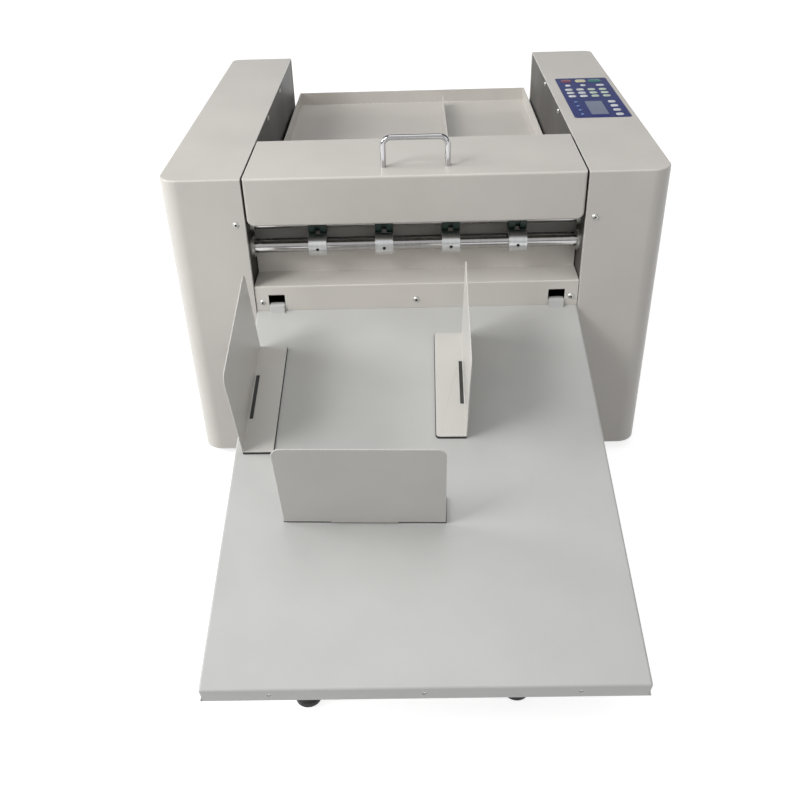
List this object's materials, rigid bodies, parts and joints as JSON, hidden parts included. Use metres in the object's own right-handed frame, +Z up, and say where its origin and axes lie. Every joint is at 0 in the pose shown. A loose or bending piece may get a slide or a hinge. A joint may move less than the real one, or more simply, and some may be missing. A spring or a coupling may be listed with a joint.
{
  "type": "paper creasing machine",
  "caption": "Desktop paper creaser with a hinged cover, roller outfeed, rear feed table and a sloping delivery tray with magnetic guides.",
  "frame": {"origin": "middle of the footprint on the table top", "axes": "+X to the right seen from the delivery tray, +Y from the delivery side to the feed side, +Z up"},
  "size_m": [0.6, 1.116, 0.4383],
  "materials": {
    "housing_paint": "satin off-white paint",
    "tray_paint": "satin grey-white paint",
    "guide_paint": "satin off-white paint",
    "frame_paint": "dark grey paint",
    "bar_paint": "grey paint",
    "machined_steel": "turned and ground steel",
    "blade_steel": "ground hardened steel",
    "chrome": "bright chrome",
    "collar_aluminium": "satin anodised",
    "zinc_steel": "zinc plated",
    "black_steel": "black oxide",
    "bronze": "cast bronze",
    "green_polyurethane": "dark green polyurethane",
    "roller_rubber": "ground rubber",
    "black_rubber": "matt rubber",
    "belt_rubber": "toothed neoprene",
    "magnet_rubber": "flexible magnet",
    "motor_enamel": "black enamel",
    "motor_zinc": "cast housing",
    "board_laminate": "solder mask",
    "psu_steel": "zinc plated sheet",
    "black_plastic": "moulded",
    "rocker_plastic": "moulded",
    "keypad_blue": "printed polyester film",
    "key_print": "embossed domes",
    "display": "clear window over a grey display",
    "led_lens": "clear lens"
  },
  "bodies": {
    "machine": {"base_plate": "frame_paint", "machine_feet": "black_rubber", "left_side_frame": "frame_paint", "right_side_frame": "frame_paint", "tie_bars": "machined_steel", "left_housing": "housing_paint", "right_housing": "housing_paint", "panel_screws": "zinc_steel", "front_panel": "housing_paint", "rear_panel": "housing_paint", "feed_table": "housing_paint", "crossbar": "bar_paint", "lower_die": "machined_steel", "beam_guides": "bronze", "shaft_bearings": "zinc_steel", "crease_motor": "motor_zinc", "stepper_motor": "motor_enamel", "timing_belt": "belt_rubber", "control_board": "board_laminate", "power_supply": "psu_steel", "power_inlet": "black_plastic", "power_switch": "black_plastic", "keypad_film": "keypad_blue", "keypad_keys": "key_print", "display_window": "display", "indicator_leds": "led_lens"},
    "cover": {"cover": "housing_paint", "cover_handle": "chrome", "hinge_pins": "machined_steel"},
    "outfeed_shaft": {"outfeed_shaft": "machined_steel", "outfeed_collars": "collar_aluminium", "collar_set_screws": "black_steel", "outfeed_gear": "zinc_steel", "outfeed_pulley": "collar_aluminium"},
    "nip_shaft": {"nip_shaft": "machined_steel", "nip_wheels": "green_polyurethane", "nip_gear": "zinc_steel"},
    "infeed_lower": {"infeed_lower_roller": "roller_rubber", "infeed_lower_gear": "zinc_steel", "infeed_pulley": "collar_aluminium"},
    "infeed_upper": {"infeed_upper_roller": "roller_rubber", "infeed_upper_gear": "zinc_steel"},
    "stepper_pulley": {"motor_pulley": "collar_aluminium"},
    "creasing_beam": {"creasing_beam": "bar_paint", "creasing_blade": "blade_steel", "pull_plates": "bar_paint"},
    "eccentric_shaft": {"eccentric_shaft": "machined_steel", "eccentric_gear": "black_steel"},
    "motor_pinion": {"motor_pinion": "zinc_steel"},
    "switch_rocker": {"switch_rocker": "rocker_plastic"},
    "delivery_tray": {"delivery_tray": "tray_paint", "tray_legs": "chrome", "tray_feet": "black_rubber"},
    "left_tray_guide": {"left_tray_guide": "guide_paint", "left_guide_magnet": "magnet_rubber"},
    "right_tray_guide": {"right_tray_guide": "guide_paint", "right_guide_magnet": "magnet_rubber"},
    "end_stop": {"end_stop": "guide_paint", "end_stop_magnet": "magnet_rubber"},
    "feed_guide": {"feed_guide": "guide_paint"}
  },
  "joints": [
    {"name": "cover_hinge", "type": "hinge", "parent": "machine", "child": "cover", "pos_m": [0, 0.05599, 0.392], "axis": [-1, 0, 0], "range_deg": [0, 95]},
    {"name": "outfeed_spin", "type": "hinge", "parent": "machine", "child": "outfeed_shaft", "pos_m": [0, -0.04201, 0.303], "axis": [1, 0, 0], "continuous": true},
    {"name": "nip_spin", "type": "hinge", "parent": "machine", "child": "nip_shaft", "pos_m": [0, -0.03001, 0.32635], "axis": [1, 0, 0], "continuous": true},
    {"name": "infeed_lower_spin", "type": "hinge", "parent": "machine", "child": "infeed_lower", "pos_m": [0, 0.04999, 0.303], "axis": [1, 0, 0], "continuous": true},
    {"name": "infeed_upper_spin", "type": "hinge", "parent": "machine", "child": "infeed_upper", "pos_m": [0, 0.04999, 0.32925], "axis": [1, 0, 0], "continuous": true},
    {"name": "stepper_spin", "type": "hinge", "parent": "machine", "child": "stepper_pulley", "pos_m": [0.22, -0.01201, 0.185], "axis": [1, 0, 0], "continuous": true},
    {"name": "beam_slide", "type": "slide", "parent": "machine", "child": "creasing_beam", "axis": [0, 0, -1], "range_m": [0, 0.0035]},
    {"name": "eccentric_spin", "type": "hinge", "parent": "machine", "child": "eccentric_shaft", "pos_m": [0, 0.01799, 0.24], "axis": [1, 0, 0], "continuous": true},
    {"name": "pinion_spin", "type": "hinge", "parent": "machine", "child": "motor_pinion", "pos_m": [0.235, 0.07349, 0.24], "axis": [1, 0, 0], "continuous": true},
    {"name": "switch_rock", "type": "hinge", "parent": "machine", "child": "switch_rocker", "pos_m": [-0.252, 0.49599, 0.104], "axis": [1, 0, 0], "range_deg": [0, 20]},
    {"name": "tray_tilt", "type": "hinge", "parent": "machine", "child": "delivery_tray", "pos_m": [0, -0.06851, 0.23503], "axis": [-1, 0, 0], "range_deg": [0, 12]},
    {"name": "left_guide_slide", "type": "slide", "parent": "delivery_tray", "child": "left_tray_guide", "axis": [1, 0, 0], "range_m": [-0.004, 0.12]},
    {"name": "right_guide_slide", "type": "slide", "parent": "delivery_tray", "child": "right_tray_guide", "axis": [1, 0, 0], "range_m": [-0.03, 0.14]},
    {"name": "end_stop_slide", "type": "slide", "parent": "delivery_tray", "child": "end_stop", "axis": [0, -0.9721, -0.2346], "range_m": [-0.03, 0.15]},
    {"name": "feed_guide_slide", "type": "slide", "parent": "machine", "child": "feed_guide", "axis": [1, 0, 0], "range_m": [-0.24, 0.118]}
  ],
  "couplings": [
    {"joint": "nip_spin", "follows": "outfeed_spin", "ratio": -1},
    {"joint": "infeed_lower_spin", "follows": "outfeed_spin", "ratio": 1},
    {"joint": "infeed_upper_spin", "follows": "outfeed_spin", "ratio": -1},
    {"joint": "stepper_spin", "follows": "outfeed_spin", "ratio": 1.4444},
    {"joint": "pinion_spin", "follows": "eccentric_spin", "ratio": -2.7}
  ]
}
